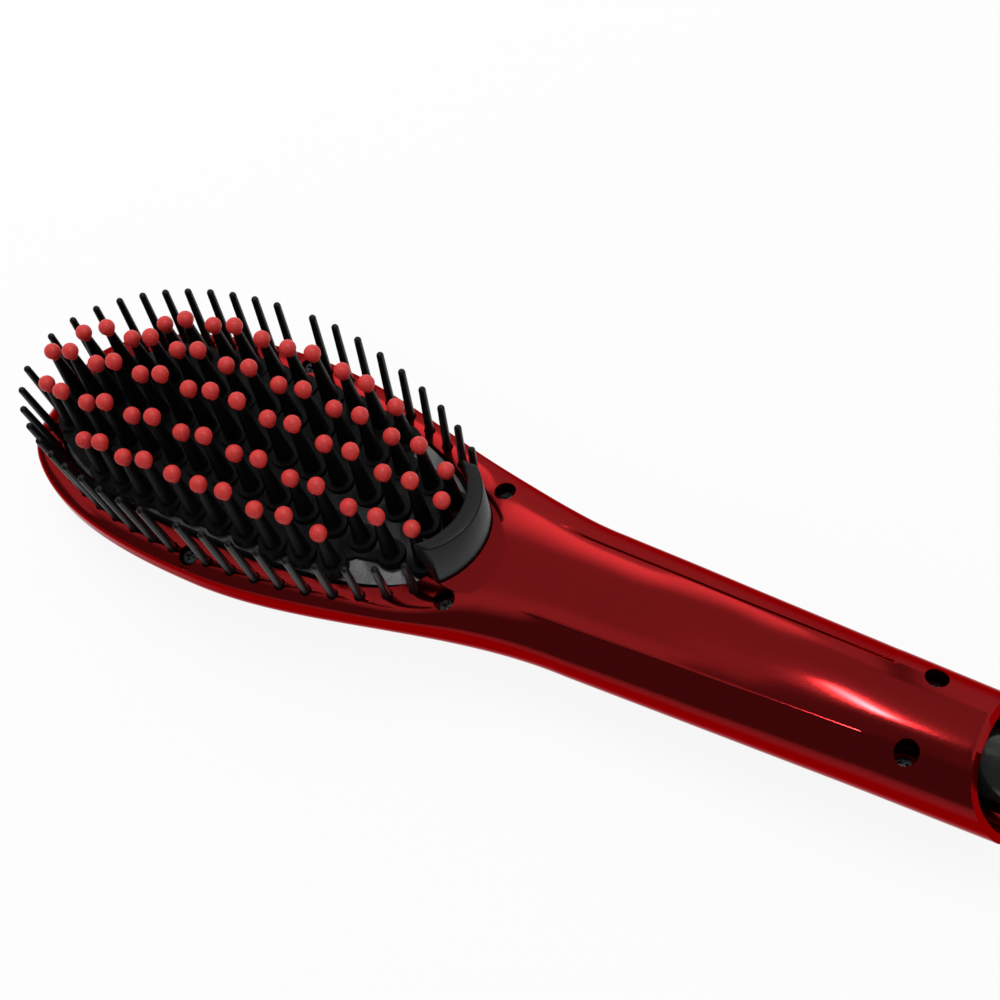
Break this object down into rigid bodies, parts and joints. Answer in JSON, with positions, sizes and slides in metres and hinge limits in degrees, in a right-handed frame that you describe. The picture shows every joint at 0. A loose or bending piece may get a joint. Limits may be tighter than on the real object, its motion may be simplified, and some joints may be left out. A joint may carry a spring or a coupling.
{
  "type": "hair_straightening_brush",
  "caption": "Electric hair straightening brush lying on its back: metallic red shell, black bristles with red ball tips on a heated plate, comb teeth around them, cord swivel at the end",
  "frame": {"origin": "On the flat strip of the back shell that the brush rests on, under the middle of the head, in its symmetry plane", "axes": "+X runs along the handle to its end, +Z points out of the bristles, +Y completes the right-handed frame"},
  "size_m": [0.2485, 0.063, 0.0469],
  "materials": {
    "red_metallic": "glossy metallic red lacquer on moulded shells",
    "black_plastic": "fine satin black moulding",
    "black_bristle": "heat-proof black nylon or silicone, satin",
    "red_tips": "red ball tips on the bristles, soft sheen",
    "plate_aluminium": "satin cast aluminium",
    "ceramic": "unglazed ceramic",
    "steel": "bright zinc-plated steel",
    "cream_plastic": "natural heat-proof moulding",
    "brass": "bright brass",
    "gloss_black": "polished black moulding",
    "display_glass": "dark transparent window, blank",
    "board_green": "green solder mask on laminate",
    "button_black": "satin black cap",
    "lead_insulation": "silicone-sleeved lead"
  },
  "bodies": {
    "brush": {"front_shell": "red_metallic", "back_shell": "red_metallic", "comb_frame": "black_plastic", "heel_guard": "black_plastic", "pin_pad": "black_bristle", "heater_plate": "plate_aluminium", "heater_element": "ceramic", "element_clamp": "steel", "heat_shield": "cream_plastic", "thermal_fuse": "ceramic", "thermistor": "brass", "control_bezel": "gloss_black", "display_window": "display_glass", "display_module": "black_plastic", "control_board": "board_green", "capacitor": "cream_plastic", "triac": "black_plastic", "power_switch": "steel", "plus_switch": "steel", "minus_switch": "steel", "swivel_bush": "cream_plastic", "contact_carrier": "cream_plastic", "contact_leaf_live": "brass", "contact_leaf_neutral": "brass", "heater_lead_live": "lead_insulation", "heater_lead_neutral": "lead_insulation", "supply_lead_live": "lead_insulation", "supply_lead_neutral": "lead_insulation", "screw_head_far": "steel", "screw_head_near": "steel", "screw_neck_far": "steel", "screw_neck_near": "steel", "screw_end_far": "steel", "screw_end_near": "steel"},
    "swivel": {"swivel_gland": "gloss_black", "retaining_clip": "steel", "contact_ring_live": "brass", "contact_ring_neutral": "brass"},
    "power_key": {"power_button": "button_black", "power_plunger": "button_black"},
    "plus_key": {"plus_button": "button_black", "plus_plunger": "button_black"},
    "minus_key": {"minus_button": "button_black", "minus_plunger": "button_black"}
  },
  "joints": [
    {"name": "swivel_turn", "type": "hinge", "parent": "brush", "child": "swivel", "pos_m": [0.1668, 0, 0.01385], "axis": [1, 0, 0], "continuous": true},
    {"name": "power_press", "type": "slide", "parent": "brush", "child": "power_key", "axis": [0, 0, 1], "range_m": [0, 0.0008], "stiffness_N_per_m": 600, "springref_m": -0.001},
    {"name": "plus_press", "type": "slide", "parent": "brush", "child": "plus_key", "axis": [0, 0, 1], "range_m": [0, 0.0008], "stiffness_N_per_m": 600, "springref_m": -0.001},
    {"name": "minus_press", "type": "slide", "parent": "brush", "child": "minus_key", "axis": [0, 0, 1], "range_m": [0, 0.0008], "stiffness_N_per_m": 600, "springref_m": -0.001}
  ]
}
